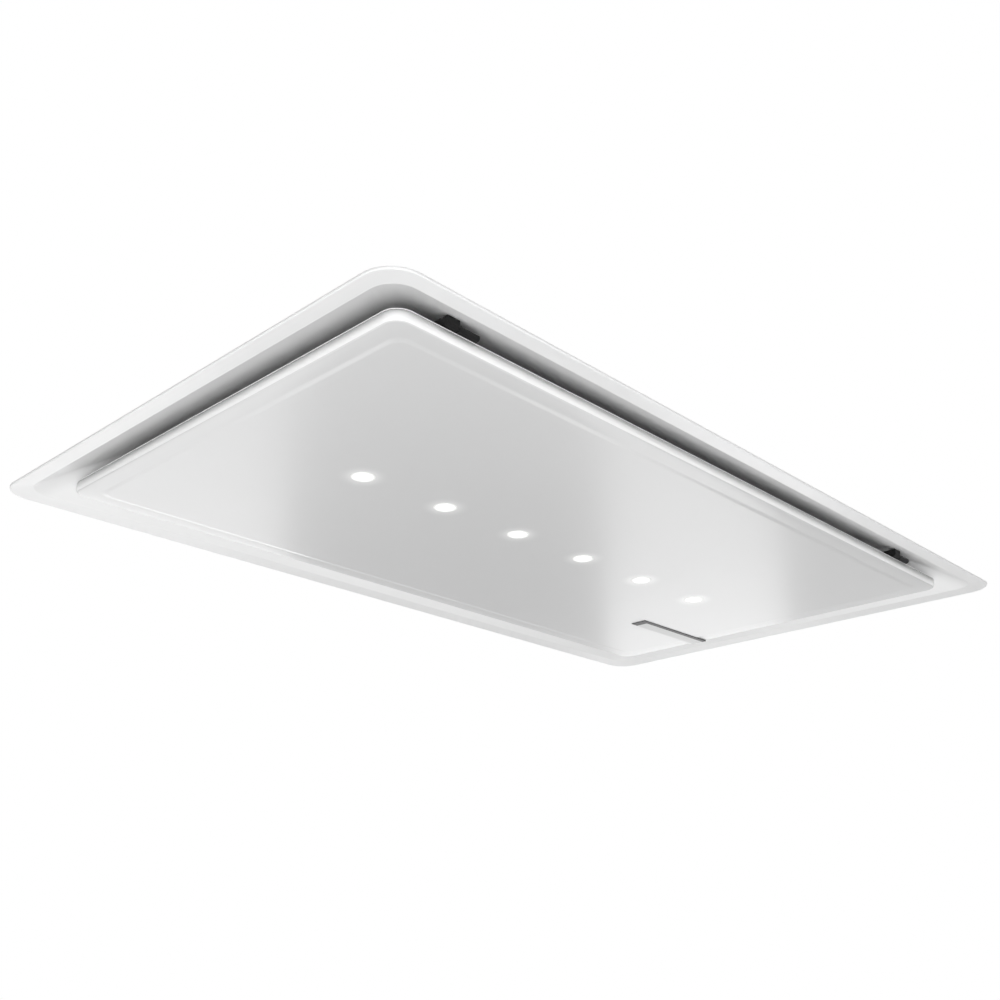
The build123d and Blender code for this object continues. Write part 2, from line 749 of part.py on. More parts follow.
def make_hanger(x, y):
    """A Z-shaped bracket: a foot on the housing's top, a riser and an upper leg with a hole."""
    way = math.copysign(1, x)
    foot_end = x + way * hanger_foot / 2
    width = (y - hanger_width / 2, y + hanger_width / 2)
    high = housing_height + hanger_height
    foot = block((x - way * hanger_foot / 2, foot_end), width, (housing_height, hanger_seat))
    riser = block((foot_end - way * hanger_sheet, foot_end), width, (housing_height, high))
    leg_x = (foot_end - way * hanger_sheet, foot_end + way * hanger_foot)
    leg = block(leg_x, width, (high - hanger_sheet, high))
    hole_x = foot_end + way * hanger_foot / 2
    hole = rod(hanger_hole, (hole_x, y, high - hanger_sheet - past), (hole_x, y, high + past))
    bolts = [screw_hole((x, y + step, hanger_seat), (x, y + step, 0))
             for step in (-hanger_width / 4, hanger_width / 4)]
    return cut(foot + riser + leg - hole, bolts)


# ---- blower -------------------------------------------------------------------------------------
def scroll_outline(extra, end_x):
    """The scroll seen from above: a spiral from the tongue round to a straight discharge."""
    level = scroll_end - discharge_width      # the discharge's inner side, below the axis
    tongue = math.asin((level - extra) / (scroll_start + extra))
    sweep_angle = 1.5 * math.pi + tongue
    points = []
    for i in range(scroll_points):
        share = i / (scroll_points - 1)
        angle = -tongue + share * sweep_angle
        radius = scroll_start + extra + share * (scroll_end - scroll_start)
        points.append((blower_x + radius * math.cos(angle), blower_y + radius * math.sin(angle)))
    spiral = Spline(*points, tangents=[(math.sin(tongue), math.cos(tongue)), (1, 0)])
    low = points[-1][1]
    sides = Polyline(points[-1], (end_x, low), (end_x, points[0][1]), points[0])
    return make_face(spiral + sides)


def make_scroll_body():
    end = wall_x - wall_gap
    body = extrude(scroll_outline(scroll_wall, end), amount=scroll_height - scroll_wall)
    body = Pos(0, 0, scroll_floor) * body
    space = extrude(scroll_outline(0, end + past), amount=scroll_height)
    body -= Pos(0, 0, scroll_floor + scroll_wall) * space
    return body - rod(inlet_radius, (blower_x, blower_y, scroll_floor - past),
                      (blower_x, blower_y, scroll_floor + scroll_wall + past))


def make_scroll_cover():
    end = wall_x - wall_gap
    cover = extrude(scroll_outline(scroll_wall, end), amount=scroll_wall)
    cover = Pos(0, 0, scroll_roof - scroll_wall) * cover
    cover -= rod(motor_radius + cover_gap, (blower_x, blower_y, scroll_roof - scroll_wall - past),
                 (blower_x, blower_y, scroll_roof + past))
    return cut(cover, [screw_hole(*place) for place in motor_screws])


def make_inlet_ring():
    outer = throat_radius + throat_wall
    low = scroll_floor - inlet_sheet
    steps = [math.radians(angle) for angle in range(0, 91, 15)]
    bell = [(inlet_radius - bell_bend * math.sin(a), low + bell_bend * (1 - math.cos(a))) for a in steps]
    return turned(bell + [
        (throat_radius, scroll_floor + throat_height), (outer, scroll_floor + throat_height),
        (outer, scroll_floor), (inlet_flange, scroll_floor), (inlet_flange, low),
    ], blower_x, blower_y)


def make_blower_wheel():
    """The wheel's back plate, with a cup round the motor and the hub."""
    cup = motor_radius + cup_gap
    hub_low = hub_top - hub_height
    bore = shaft_radius + pin_fit
    return turned([
        (bore, hub_low), (hub_radius, hub_low), (hub_radius, hub_top), (cup + wheel_sheet, hub_top),
        (cup + wheel_sheet, wheel_top - wheel_sheet), (wheel_radius, wheel_top - wheel_sheet),
        (wheel_radius, wheel_top), (cup, wheel_top), (cup, hub_top + wheel_sheet),
        (bore, hub_top + wheel_sheet),
    ], blower_x, blower_y)


def make_wheel_ring():
    """The flat ring that holds the blades' lower ends."""
    return tube(wheel_radius, wheel_inner, (blower_x, blower_y, wheel_floor),
                (blower_x, blower_y, wheel_floor + wheel_sheet))


def make_wheel_blades():
    """Separate blades, from the ring up to the back plate."""
    low = wheel_floor + wheel_sheet
    middle = (wheel_radius + wheel_inner) / 2
    chord = blade_depth / math.cos(math.radians(blade_lean)) - blade_thickness
    blade = Pos(middle, 0, low) * Rot(0, 0, blade_lean) * Rectangle(chord, blade_thickness)
    blade = extrude(blade, amount=wheel_top - wheel_sheet - low)
    turns = [Rot(0, 0, 360 * i / blade_count) for i in range(blade_count)]
    return [Pos(blower_x, blower_y, 0) * turn * blade for turn in turns]


def make_motor():
    seat = scroll_roof + motor_gasket
    bore = shaft_radius + running_gap
    motor = turned([
        (bore, motor_low), (motor_radius - motor_chamfer, motor_low),
        (motor_radius, motor_low + motor_chamfer), (motor_radius, seat),
        (motor_flange, seat), (motor_flange, motor_seat), (bore, motor_seat),
    ], blower_x, blower_y)
    return cut(motor, [screw_hole(*place) for place in motor_screws])


def make_motor_shaft():
    low = hub_top - hub_height - shaft_overhang
    return rod(shaft_radius, (blower_x, blower_y, low), (blower_x, blower_y, low + shaft_length))


def make_motor_gasket():
    gasket = tube(motor_flange, motor_radius + gasket_gap, (blower_x, blower_y, scroll_roof),
                  (blower_x, blower_y, scroll_roof + motor_gasket))
    return cut(gasket, [screw_hole(*place) for place in motor_screws])


def make_blower_mounts():
    steps = (-mount_offset, mount_offset)
    places = [(blower_x + dx, blower_y + dy) for dx in steps for dy in steps]
    return [rod(mount_radius, (x, y, scroll_roof), (x, y, housing_under)) for x, y in places]


# ---- duct collar and flaps ----------------------------------------------------------------------
def make_duct_collar():
    plate = block((duct_x, duct_x + duct_plate_thickness),
                  (duct_y - duct_plate_side, duct_y + duct_plate_side),
                  (duct_z - duct_plate_high, duct_z + duct_plate_high))
    plate = fillet(plate.edges().filter_by(Axis.X), duct_plate_radius)
    spigot = rod(duct_radius, (duct_x, duct_y, duct_z), (duct_x + duct_length, duct_y, duct_z))
    bore = rod(duct_radius - duct_wall, (duct_x - past, duct_y, duct_z),
               (duct_x + duct_length + past, duct_y, duct_z))
    collar = plate + spigot - bore
    for side in (-1, 1):
        end = duct_z + side * (duct_radius - duct_wall + boss_bite)
        start = duct_z + side * (duct_radius - duct_wall - boss_depth)
        boss = rod(flap_knuckle, (flap_axis_x, duct_y, end), (flap_axis_x, duct_y, start))
        collar += boss
        collar -= rod(flap_pin_radius + pin_fit, (flap_axis_x, duct_y, duct_z), (flap_axis_x, duct_y, end))
    return cut(collar, [screw_hole(*place) for place in collar_screws])


def make_flap_pin():
    reach = duct_radius - duct_wall + pin_end_gap
    return rod(flap_pin_radius, (flap_axis_x, duct_y, duct_z - reach), (flap_axis_x, duct_y, duct_z + reach))


def make_flap(side):
    """A half-round vane on one side of the pin, with two knuckles that alternate with the other's."""
    radius = duct_radius - duct_wall - flap_clearance
    disc = rod(radius, (flap_axis_x - flap_thickness / 2, duct_y, duct_z),
               (flap_axis_x + flap_thickness / 2, duct_y, duct_z))
    keep = flap_knuckle + flap_pin_gap
    vane = disc & block((flap_axis_x - flap_thickness, flap_axis_x + flap_thickness),
                        (duct_y + side * keep, duct_y + side * (radius + past)),
                        (duct_z - radius, duct_z + radius))
    step = flap_knuckle_height + flap_knuckle_gap
    for i in (-2, 0) if side < 0 else (-1, 1):
        low = duct_z + i * step + flap_knuckle_gap / 2
        place = (low, low + flap_knuckle_height)
        vane += rod(flap_knuckle, (flap_axis_x, duct_y, place[0]), (flap_axis_x, duct_y, place[1]))
        vane += block((flap_axis_x - flap_thickness / 2, flap_axis_x + flap_thickness / 2),
                      (duct_y, duct_y + side * (keep + past)), place)
    return vane - rod(flap_pin_radius + running_gap, (flap_axis_x, duct_y, duct_z - radius),
                      (flap_axis_x, duct_y, duct_z + radius))


# ---- control gear -------------------------------------------------------------------------------
def make_control_box():
    half = box_width / 2
    wide = (box_wall - half, half - box_wall)
    high = (box_floor + box_wall, box_floor + box_height - box_wall)
    outer = block((box_x, box_x + box_depth), (-half, half), (box_floor, box_floor + box_height))
    box = outer - block((box_x + box_wall, box_x + box_depth + past), wide, high)
    for y in (board_y[0] + boss_inset, board_y[1] - boss_inset):
        for z in (board_z[0] + boss_inset, board_z[1] - boss_inset):
            box += rod(box_boss_radius, (box_x, y, z), (box_x + box_wall + box_boss, y, z))
    return box - rod(gland_radius + gland_clearance, (box_x - past, gland_y, gland_z),
                     (box_x + box_wall + past, gland_y, gland_z))


def make_control_board():
    """The board with a transformer, a relay, a heat sink and two capacitors."""
    back = box_x + box_wall + box_boss
    front = back + board_thickness
    board = block((back, front), board_y, board_z)
    for y, z, width, height, depth in board_blocks:
        low_y, low_z = board_y[0] + y, board_z[0] + z
        board += block((front, front + depth), (low_y, low_y + width), (low_z, low_z + height))
    for y in capacitor_places:
        foot = (board_y[0] + y, board_z[1] - capacitor_drop)
        board += rod(capacitor_radius, (front, *foot), (front + capacitor_length, *foot))
    return board


def make_control_lid():
    return block((box_x + box_depth, box_x + box_depth + box_wall), (-box_width / 2, box_width / 2),
                 (box_floor, box_floor + box_height))


def make_cable_gland():
    outside = -duct_x
    tip = outside - gland_head_length
    inside = box_x + box_wall + gland_nut_length
    gland = rod(gland_radius, (outside, gland_y, gland_z), (inside, gland_y, gland_z))
    head = Plane(origin=(tip, gland_y, gland_z), z_dir=(1, 0, 0)) * RegularPolygon(gland_head, 6)
    gland += extrude(head, amount=gland_head_length)
    return gland - rod(gland_bore, (tip - past, gland_y, gland_z), (inside + past, gland_y, gland_z))


def make_gland_nut():
    start = box_x + box_wall
    end = start + gland_nut_length
    nut = Plane(origin=(start, gland_y, gland_z), z_dir=(1, 0, 0)) * RegularPolygon(gland_head, 6)
    hole = rod(gland_radius + pin_fit, (start - past, gland_y, gland_z), (end + past, gland_y, gland_z))
    return extrude(nut, amount=gland_nut_length) - hole


def make_light_driver():
    length, width, height = driver_size
    x = driver_end - housing_length / 2
    y = housing_width / 2 - driver_side
    driver = block((x - length / 2, x + length / 2), (y - width / 2, y + width / 2),
                   (housing_under - height, housing_under))
    return fillet(driver.edges().filter_by(Axis.Z), driver_corner)


# ---- every piece under its name -----------------------------------------------------------------
nodes["ceiling_frame"] = [make_ceiling_frame()]
nodes["ceiling_seal"] = [make_ceiling_seal()]
nodes["panel_face"] = [make_panel_face()]
nodes["panel_tray"] = [make_panel_tray()]
nodes["panel_gasket"] = [make_panel_gasket()]
nodes["panel_ribs"] = [make_panel_rib(y) for y in (-rib_offset, rib_offset)]
for number, x in enumerate(light_places, 1):
    nodes[f"light_lens_{number}"] = [make_lens(x)]
nodes["light_cups"] = [make_light_cup(x) for x in light_places]
nodes["light_chips"] = [make_light_chip(x) for x in light_places]
nodes["name_strip"] = [make_name_strip()]
for number, x in enumerate(hinge_x, 1):
    nodes[f"hinge_bracket_{number}"] = [make_hinge_bracket(x)]
    nodes[f"hinge_arm_{number}"] = [make_hinge_arm(x)]
nodes["hinge_pins"] = [make_hinge_pin(x) for x in hinge_x]
nodes["hinge_screws"] = [screw(*place, leaf_screw_length) for x in hinge_x for place in leaf_screws(x)]
nodes["catch_holders"] = [make_catch_holder(x) for x in (-catch_x, catch_x)]
nodes["catch_magnets"] = [make_magnet(x) for x in (-catch_x, catch_x)]
nodes["strike_plates"] = [make_strike_plate(x) for x in (-catch_x, catch_x)]
for number, x in enumerate(filter_places, 1):
    nodes[f"filter_frame_{number}"] = [make_filter_frame(x)]
    nodes[f"filter_latch_{number}"] = [make_filter_latch(x)]
    nodes[f"latch_spring_{number}"] = [make_latch_spring(x)]
nodes["filter_meshes"] = [make_filter_mesh(x) for x in filter_places]
nodes["filter_deck"] = [make_filter_deck()]
nodes["housing_shell"] = [make_housing_shell()]
nodes["housing_top"] = [make_housing_top()]
nodes["case_screws"] = [screw(*place) for place in case_screws + motor_screws]
hanger_places = [(x, y) for x in (-hanger_x, hanger_x) for y in (-hanger_y, hanger_y)]
nodes["hanger_brackets"] = [make_hanger(x, y) for x, y in hanger_places]
nodes["hanger_bolts"] = [screw((x, y, hanger_seat), (x, y, 0)) for x, y in hanger_bolt_places()]
nodes["scroll_body"] = [make_scroll_body()]
nodes["scroll_cover"] = [make_scroll_cover()]
nodes["inlet_ring"] = [make_inlet_ring()]
nodes["blower_wheel"] = [make_blower_wheel()]
nodes["wheel_ring"] = [make_wheel_ring()]
nodes["wheel_blades"] = make_wheel_blades()
nodes["motor"] = [make_motor()]
nodes["motor_shaft"] = [make_motor_shaft()]
nodes["motor_gasket"] = [make_motor_gasket()]
nodes["blower_mounts"] = make_blower_mounts()
nodes["duct_collar"] = [make_duct_collar()]
nodes["flap_pin"] = [make_flap_pin()]
nodes["flap_left"] = [make_flap(1)]
nodes["flap_right"] = [make_flap(-1)]
nodes["control_box"] = [make_control_box()]
nodes["control_board"] = [make_control_board()]
nodes["control_lid"] = [make_control_lid()]
nodes["cable_gland"] = [make_cable_gland()]
nodes["gland_nut"] = [make_gland_nut()]
nodes["light_driver"] = [make_light_driver()]

os.makedirs("parts", exist_ok=True)
for name, pieces in nodes.items():
    solids = [solid for piece in pieces for solid in piece.solids()]
    export_step(solids[0] if len(solids) == 1 else Compound(children=solids), f"parts/{name}.step")
print(len(nodes), "nodes")
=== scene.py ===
import json
import math

import bmesh
import bpy
from mathutils import Matrix, Vector


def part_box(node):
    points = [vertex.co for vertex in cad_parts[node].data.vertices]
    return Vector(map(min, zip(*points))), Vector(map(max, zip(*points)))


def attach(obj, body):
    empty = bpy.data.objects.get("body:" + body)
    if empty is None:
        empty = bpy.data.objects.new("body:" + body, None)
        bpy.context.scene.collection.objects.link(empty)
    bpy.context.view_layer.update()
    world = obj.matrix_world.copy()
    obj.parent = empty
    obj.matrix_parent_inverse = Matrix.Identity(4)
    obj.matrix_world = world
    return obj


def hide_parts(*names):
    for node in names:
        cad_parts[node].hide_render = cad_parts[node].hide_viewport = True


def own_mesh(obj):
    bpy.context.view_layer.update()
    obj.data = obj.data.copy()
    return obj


# Ceiling range hood, seen from below as in the photograph. Metres, +Z up, the ceiling's lower face
# is z = 0, -Y is the hinge side and +X the side of the duct.

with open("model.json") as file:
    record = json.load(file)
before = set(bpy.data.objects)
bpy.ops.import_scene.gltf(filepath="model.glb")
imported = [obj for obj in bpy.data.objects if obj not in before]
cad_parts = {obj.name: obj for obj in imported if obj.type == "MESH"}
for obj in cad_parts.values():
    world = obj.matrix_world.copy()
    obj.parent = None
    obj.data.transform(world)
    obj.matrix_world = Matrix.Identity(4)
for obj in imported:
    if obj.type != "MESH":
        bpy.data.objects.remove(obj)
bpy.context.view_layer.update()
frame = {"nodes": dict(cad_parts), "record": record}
nodes = frame["nodes"]

# ---- camera ----------------------------------------------------------------------------------
CAMERA_PLACE = (-1.1188, -0.9797, -0.5467)
CAMERA_HEADING = 46.12        # degrees from +Y towards +X
CAMERA_PITCH = 22.27          # degrees above level
CAMERA_FIELD = 46.30          # degrees across the frame


def make_camera():
    data = bpy.data.cameras.new("camera")
    data.sensor_fit = "HORIZONTAL"
    data.angle = math.radians(CAMERA_FIELD)
    data.clip_start = 0.01
    camera = bpy.data.objects.new("camera", data)
    camera.location = CAMERA_PLACE
    camera.rotation_euler = (math.radians(90 + CAMERA_PITCH), 0, math.radians(-CAMERA_HEADING))
    bpy.context.scene.collection.objects.link(camera)
    bpy.context.scene.camera = camera


# ---- the panel's lights ------------------------------------------------------------------------
LIGHT_COUNT = 6
LIGHT_PITCH = 0.1319
LENS_RADIUS = 0.0145
LENS_BRIGHT = 2.4             # emission at a lens's middle
LENS_DIM = 0.12               # and at its rim
LENS_FALL = (0.30, 0.90)      # shares of the radius between which it falls
# Painted glow: the panel itself emits light round each lens, though it is no lamp.
GLOW = 0.16                   # emission of the panel next to a lens
GLOW_REACH = 0.018            # how far that glow reaches


# ---- material helpers ----------------------------------------------------------------------------
class Shader:
    """A material with one Principled shader and short ways to add nodes to it."""

    def __init__(self, name, colour, roughness, metallic=0.0, **sockets):
        self.material = bpy.data.materials.new(name)
        self.material.use_nodes = True
        self.tree = self.material.node_tree
        self.main = self.tree.nodes["Principled BSDF"]
        self.main.inputs["Base Color"].default_value = (*colour, 1)
        self.main.inputs["Roughness"].default_value = roughness
        self.main.inputs["Metallic"].default_value = metallic
        for socket, value in sockets.items():
            self.main.inputs[socket.replace("_", " ")].default_value = value
        self.place = self.tree.nodes.new("ShaderNodeTexCoord").outputs["Object"]

    def node(self, kind, links=None, **settings):
        made = self.tree.nodes.new(kind)
        for key, value in settings.items():
            setattr(made, key, value)
        for socket, source in (links or {}).items():
            if isinstance(source, bpy.types.NodeSocket):
                self.tree.links.new(source, made.inputs[socket])
            else:
                made.inputs[socket].default_value = source
        return made

    def scaled(self, x, y, z):
        """The object's coordinates, stretched along each axis."""
        links = {"Vector": self.place, "Scale": (x, y, z)}
        return self.node("ShaderNodeMapping", links).outputs[0]

    def noise(self, scale, detail=2.0, vector=None):
        links = {"Vector": vector or self.place, "Scale": scale, "Detail": detail}
        return self.node("ShaderNodeTexNoise", links).outputs["Fac"]

    def cells(self, scale, output="Color", vector=None, feature="F1"):
        links = {"Vector": vector or self.place, "Scale": scale}
        return self.node("ShaderNodeTexVoronoi", links, feature=feature).outputs[output]

    def spread(self, value, low, high, start=0.0, end=1.0):
        """A value mapped from one range to another."""
        links = {"Value": value, "From Min": start, "From Max": end, "To Min": low, "To Max": high}
        return self.node("ShaderNodeMapRange", links).outputs[0]

    def math(self, operation, first, second=0.0):
        return self.node("ShaderNodeMath", {0: first, 1: second}, operation=operation).outputs[0]

    def mix(self, share, first, second):
        """A colour between two, by a share."""
        made = self.node("ShaderNodeMix", {0: share}, data_type="RGBA")
        for socket, source in ((6, first), (7, second)):
            if isinstance(source, bpy.types.NodeSocket):
                self.tree.links.new(source, made.inputs[socket])
            else:
                made.inputs[socket].default_value = (*source, 1)
        return made.outputs[2]

    def set(self, socket, source):
        self.tree.links.new(source, self.main.inputs[socket])

    def bump(self, height, strength, distance, edge=0.0):
        """Relief, and sharp edges that catch the light as if rounded by that radius."""
        links = {"Height": height, "Strength": strength, "Distance": distance}
        if edge:
            links["Normal"] = self.node("ShaderNodeBevel", {"Radius": edge}, samples=6).outputs[0]
        self.set("Normal", self.node("ShaderNodeBump", links).outputs[0])

    def from_light(self):
        """The distance from the nearest of the panel's lights, and 1 within the row of lights."""
        place = self.node("ShaderNodeSeparateXYZ", {"Vector": self.place}).outputs
        share = self.math("FRACT", self.math("DIVIDE", place["X"], LIGHT_PITCH))
        across = self.math("MULTIPLY", self.math("SUBTRACT", share, 0.5), LIGHT_PITCH)
        flat = self.node("ShaderNodeCombineXYZ", {"X": across, "Y": place["Y"]}).outputs[0]
        length = self.node("ShaderNodeVectorMath", {0: flat}, operation="LENGTH").outputs["Value"]
        row_end = LIGHT_PITCH * LIGHT_COUNT / 2
        row = self.math("LESS_THAN", self.math("ABSOLUTE", place["X"]), row_end)
        return length, row


# ---- materials -----------------------------------------------------------------------------------
def white_paint():
    """Powder coat: a fine orange-peel surface, slightly uneven in gloss."""
    paint = Shader("white_paint", (0.88, 0.88, 0.88), 0.38, Coat_Weight=0.15, Coat_Roughness=0.25)
    cloud = paint.noise(3.0, 3.0)
    paint.set("Base Color", paint.mix(cloud, (0.870, 0.873, 0.876), (0.890, 0.890, 0.885)))
    paint.set("Roughness", paint.spread(paint.noise(9.0, 2.0), 0.34, 0.44))
    paint.bump(paint.noise(900.0, 2.0), 0.08, 0.0004, edge=0.0006)
    return paint.material


def panel_paint():
    """The panel's enamel: smoother and glossier than the rim's, with a painted glow round each
    lens.
    """
    paint = Shader("panel_paint", (0.69, 0.69, 0.69), 0.30, Coat_Weight=0.5, Coat_Roughness=0.2,
                   Emission_Color=(1, 0.998, 0.99, 1))
    cloud = paint.noise(2.0, 3.0)
    paint.set("Base Color", paint.mix(cloud, (0.685, 0.687, 0.69), (0.70, 0.70, 0.698)))
    paint.set("Roughness", paint.spread(paint.noise(7.0, 2.0), 0.28, 0.34))
    paint.bump(paint.noise(700.0, 2.0), 0.05, 0.0003)
    # Painted glow: the panel itself emits light round each lens, though it is no lamp.
    length, row = paint.from_light()
    glow = paint.spread(length, 1.0, 0.0, LENS_RADIUS, LENS_RADIUS + GLOW_REACH)
    glow = paint.math("MULTIPLY", paint.math("POWER", glow, 2.0), row)
    paint.set("Emission Strength", paint.math("MULTIPLY", glow, GLOW))
    return paint.material


def foam():
    rubber = Shader("dark_foam", (0.05, 0.05, 0.05), 0.95)
    pores = rubber.cells(900.0, "Distance")
    rubber.set("Base Color", rubber.mix(pores, (0.02, 0.02, 0.021), (0.075, 0.075, 0.075)))
    rubber.bump(pores, 0.6, 0.0006)
    return rubber.material


def zinc():
    """Galvanised sheet: large pale crystals with their own gloss, and rolling lines."""
    sheet = Shader("zinc_sheet", (0.6, 0.6, 0.6), 0.4, 0.9)
    crystals = sheet.cells(55.0)
    grey = sheet.node("ShaderNodeSeparateColor", {"Color": crystals}).outputs[0]
    cloud = sheet.noise(6.0, 4.0)
    tone = sheet.mix(grey, (0.53, 0.545, 0.56), (0.68, 0.69, 0.70))
    dulled = sheet.math("MULTIPLY", cloud, 0.35)
    sheet.set("Base Color", sheet.mix(dulled, tone, (0.50, 0.51, 0.53)))
    sheet.set("Roughness", sheet.spread(grey, 0.30, 0.52))
    lines = sheet.noise(60.0, 4.0, sheet.scaled(1.0, 30.0, 30.0))
    relief = sheet.math("ADD", lines, sheet.math("MULTIPLY", grey, 0.6))
    sheet.bump(relief, 0.10, 0.0004, edge=0.0008)
    return sheet.material


def steel():
    plated = Shader("steel", (0.62, 0.62, 0.61), 0.28, 1.0)
    cloud = plated.noise(120.0, 3.0)
    plated.set("Base Color", plated.mix(cloud, (0.56, 0.57, 0.59), (0.70, 0.69, 0.66)))
    plated.set("Roughness", plated.spread(plated.noise(400.0, 3.0), 0.20, 0.42))
    return plated.material


def black_metal():
    """Black powder coat on the hinge parts, with rubbed edges."""
    coat = Shader("black_metal", (0.012, 0.012, 0.012), 0.45, Specular_IOR_Level=0.25)
    coat.set("Roughness", coat.spread(coat.noise(60.0, 3.0), 0.36, 0.55))
    cloud = coat.noise(25.0, 4.0)
    coat.set("Base Color", coat.mix(cloud, (0.009, 0.009, 0.009), (0.016, 0.016, 0.016)))
    coat.bump(coat.noise(1200.0, 2.0), 0.25, 0.0005, edge=0.0007)
    return coat.material


def plastic(name, colour, low=0.42, high=0.58):
    """Moulded plastic with a fine spark-eroded grain."""
    moulded = Shader(name, colour, 0.5)
    light = tuple(min(1.0, c * 1.12) for c in colour)
    moulded.set("Base Color", moulded.mix(moulded.noise(14.0, 3.0), colour, light))
    moulded.set("Roughness", moulded.spread(moulded.noise(45.0, 3.0), low, high))
    moulded.bump(moulded.noise(700.0, 3.0), 0.25, 0.0003, edge=0.0008)
    return moulded.material


def aluminium(name, along=(1.0, 40.0, 40.0)):
    """Anodised aluminium, brushed along one axis."""
    metal = Shader(name, (0.74, 0.75, 0.76), 0.35, 1.0)
    lines = metal.noise(50.0, 4.0, metal.scaled(*along))
    metal.set("Base Color", metal.mix(lines, (0.66, 0.67, 0.68), (0.80, 0.81, 0.81)))
    metal.set("Roughness", metal.spread(lines, 0.28, 0.46))
    metal.bump(lines, 0.10, 0.0002, edge=0.0006)
    return metal.material


def mesh_layers():
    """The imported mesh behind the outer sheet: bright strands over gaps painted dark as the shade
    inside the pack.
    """
    pack = Shader("mesh_layers", (0.3, 0.3, 0.3), 0.5, 0.7)

    def layer(x, y, z):
        return pack.cells(1.0, "Distance", pack.scaled(x, y, z), "DISTANCE_TO_EDGE")

    coarse = pack.spread(layer(170.0, 330.0, 170.0), 1.0, 0.0, 0.04, 0.22)
    fine = pack.spread(layer(330.0, 170.0, 330.0), 0.7, 0.0, 0.03, 0.18)
    strands = pack.math("MAXIMUM", coarse, fine)
    # Painted shade: the gaps between the strands are near black for the shade inside the pack.
    pack.set("Base Color", pack.mix(strands, (0.035, 0.035, 0.037), (0.55, 0.555, 0.56)))
    pack.bump(strands, 0.8, 0.0008)
    return pack.material


def make_materials():
    return {
        "white_paint": white_paint(), "panel_paint": panel_paint(), "dark_foam": foam(),
        "zinc_sheet": zinc(), "steel": steel(), "magnet": steel(), "black_metal": black_metal(),
        "black_plastic": plastic("black_plastic", (0.030, 0.030, 0.031)),
        "grey_plastic": plastic("grey_plastic", (0.30, 0.31, 0.32)),
        "white_plastic": plastic("white_plastic", (0.74, 0.74, 0.72)),
        "rubber": plastic("rubber", (0.020, 0.020, 0.020), low=0.7, high=0.9),
        "board_green": plastic("board_green", (0.02, 0.16, 0.07), low=0.2, high=0.35),
        "light_source": plastic("light_source", (0.85, 0.70, 0.20)),
        "cast_aluminium": aluminium("cast_aluminium", (1.0, 1.0, 1.0)),
        "filter_aluminium": aluminium("filter_aluminium"),
        "filter_mesh": aluminium("filter_mesh"), "mesh_layers": mesh_layers(),
    }


def lit_diffuser():
    """A frosted lens over a lamp that is on, dimmer towards its rim."""
    lens = Shader("lit_diffuser", (0.90, 0.90, 0.89), 0.5, Emission_Color=(1.0, 0.995, 0.98, 1))
    start, end = (LENS_RADIUS * share for share in LENS_FALL)
    lit = lens.spread(lens.from_light()[0], LENS_BRIGHT, LENS_DIM, start, end)
    lens.set("Emission Strength", lit)
    return lens.material


STRIP_BAND = 0.007            # width of the strip's black edge
STRIP_END = 0.014             # length of its black end


def strip_metal():
    """Brushed metal, black along the edge next to the hinges and at the inner end."""
    low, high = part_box("name_strip")
    metal = Shader("strip_metal", (0.6, 0.6, 0.6), 0.35, 0.6)
    lines = metal.noise(50.0, 4.0, metal.scaled(1.0, 40.0, 40.0))
    grey = metal.mix(lines, (0.50, 0.50, 0.50), (0.64, 0.64, 0.64))
    place = metal.node("ShaderNodeSeparateXYZ", {"Vector": metal.place}).outputs
    edge = metal.math("LESS_THAN", place["Y"], low.y + STRIP_BAND)
    end = metal.math("LESS_THAN", place["X"], low.x + STRIP_END)
    black = metal.math("MAXIMUM", edge, end)
    metal.set("Base Color", metal.mix(black, grey, (0.015, 0.015, 0.016)))
    metal.set("Roughness", metal.spread(lines, 0.30, 0.5))
    metal.set("Metallic", metal.spread(black, 0.6, 0.0))
    return metal.material


def dress(materials):
    """Gives every CAD node the material of its slot."""
    slots = {part["node"]: part["material_slot"] for part in frame["record"]["subparts"]}
    own = dict(materials, lit_diffuser=lit_diffuser(), brushed_strip=strip_metal())
    for name, node in nodes.items():
        node.data.materials.clear()
        node.data.materials.append(own[slots[name]])


# ---- mesh helpers --------------------------------------------------------------------------------
def add_ring(mesh, points):
    return [mesh.verts.new(p) for p in points]


def join_rings(mesh, rings, closed=False):
    """Quads between each ring of points and the next."""
    pairs = list(zip(rings, rings[1:])) + ([(rings[-1], rings[0])] if closed else [])
    for first, second in pairs:
        for i in range(len(first)):
            j = (i + 1) % len(first)
            mesh.faces.new((first[i], first[j], second[j], second[i]))


def add_piece(name, mesh, material, body, replaced, smooth=True):
    """Turns a bmesh into a piece that stands for CAD nodes and rides on a body."""
    data = bpy.data.meshes.new(name)
    mesh.to_mesh(data)
    mesh.free()
    data.materials.append(material)
    data.polygons.foreach_set("use_smooth", [smooth] * len(data.polygons))
    piece = bpy.data.objects.new(name, data)
    bpy.context.scene.collection.objects.link(piece)
    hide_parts(*replaced)
    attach(piece, body)
    return piece


def solids_of(node):
    """The points of each separate solid of a CAD node."""
    mesh = bmesh.new()
    mesh.from_mesh(nodes[node].data)
    bmesh.ops.remove_doubles(mesh, verts=mesh.verts, dist=1e-6)
    left, found = set(mesh.verts), []
    while left:
        stack, solid = [left.pop()], []
        while stack:
            point = stack.pop()
            solid.append(point.co.copy())
            for edge in point.link_edges:
                other = edge.other_vert(point)
                if other in left:
                    left.remove(other)
                    stack.append(other)
        found.append(solid)
    mesh.free()

    def middle(solid):
        return tuple(round(v, 5) for v in sum(solid, Vector()) / len(solid))

    return sorted(found, key=middle)


def box_of(points):
    """The lowest and the highest corner of the points' box."""
    return [Vector(pick(p[axis] for p in points) for axis in range(3)) for pick in (min, max)]


